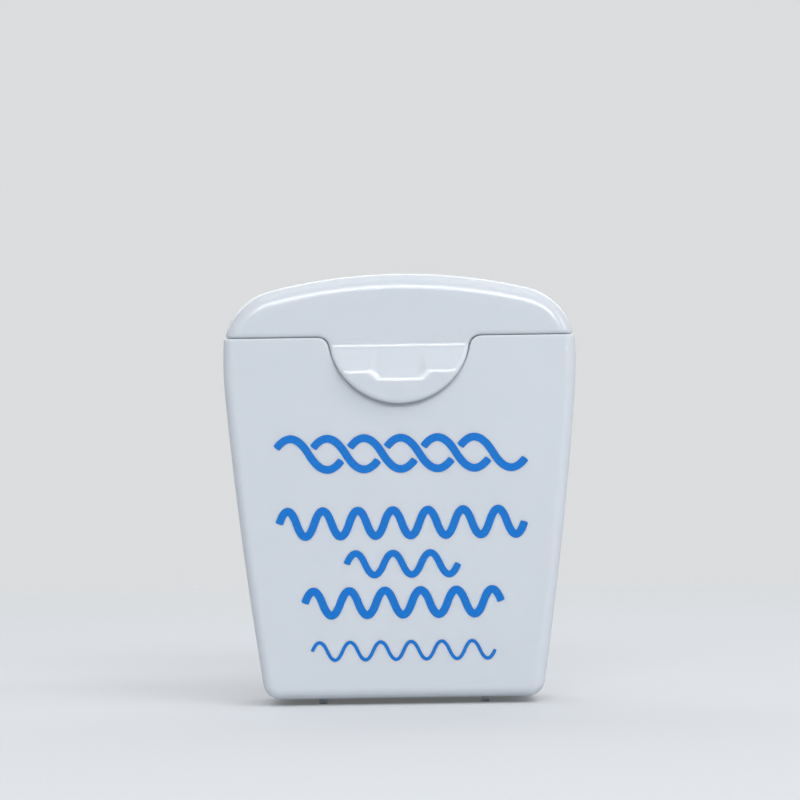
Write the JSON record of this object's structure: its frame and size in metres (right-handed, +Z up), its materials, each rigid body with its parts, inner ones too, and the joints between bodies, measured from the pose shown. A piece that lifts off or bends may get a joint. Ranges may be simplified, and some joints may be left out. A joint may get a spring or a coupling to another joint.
{
  "type": "dental floss dispenser",
  "caption": "Flat tapered floss dispenser with a domed flip-top lid on a living hinge, a half-moon thumb tab, and inside a spool, a floss guide and a toothed cutter.",
  "frame": {"origin": "under the middle of the whole dispenser, level with the underside of the strap hinges", "axes": "+Z up, from the base to the lid's crown; the front with the thumb tab faces -Y; +X to the right seen from the front"},
  "size_m": [0.052, 0.0198, 0.0635],
  "materials": {
    "case_white": "cool white satin moulding",
    "lid_white": "cool white satin moulding",
    "deck_white": "fine matt moulding",
    "cutter_steel": "stamped stainless sheet",
    "core_plastic": "matt moulding",
    "floss": "waxed white multifilament"
  },
  "bodies": {
    "case": {"rear_shell": "case_white", "front_shell": "case_white", "base_hinge_straps": "case_white", "lid_hinge_web": "lid_white", "deck_insert": "deck_white", "cutter": "cutter_steel", "floss_strand": "floss"},
    "lid": {"lid": "lid_white"},
    "spool": {"spool_core": "core_plastic", "floss_winding": "floss"}
  },
  "joints": [
    {"name": "lid_hinge", "type": "hinge", "parent": "case", "child": "lid", "pos_m": [0, 0.00978, 0.05406], "axis": [-1, 0, 0], "range_deg": [0, 170], "deforming": ["lid_hinge_web"]},
    {"name": "spool_spin", "type": "hinge", "parent": "case", "child": "spool", "pos_m": [0, 0.00068, 0.026], "axis": [0, 1, 0], "continuous": true}
  ]
}
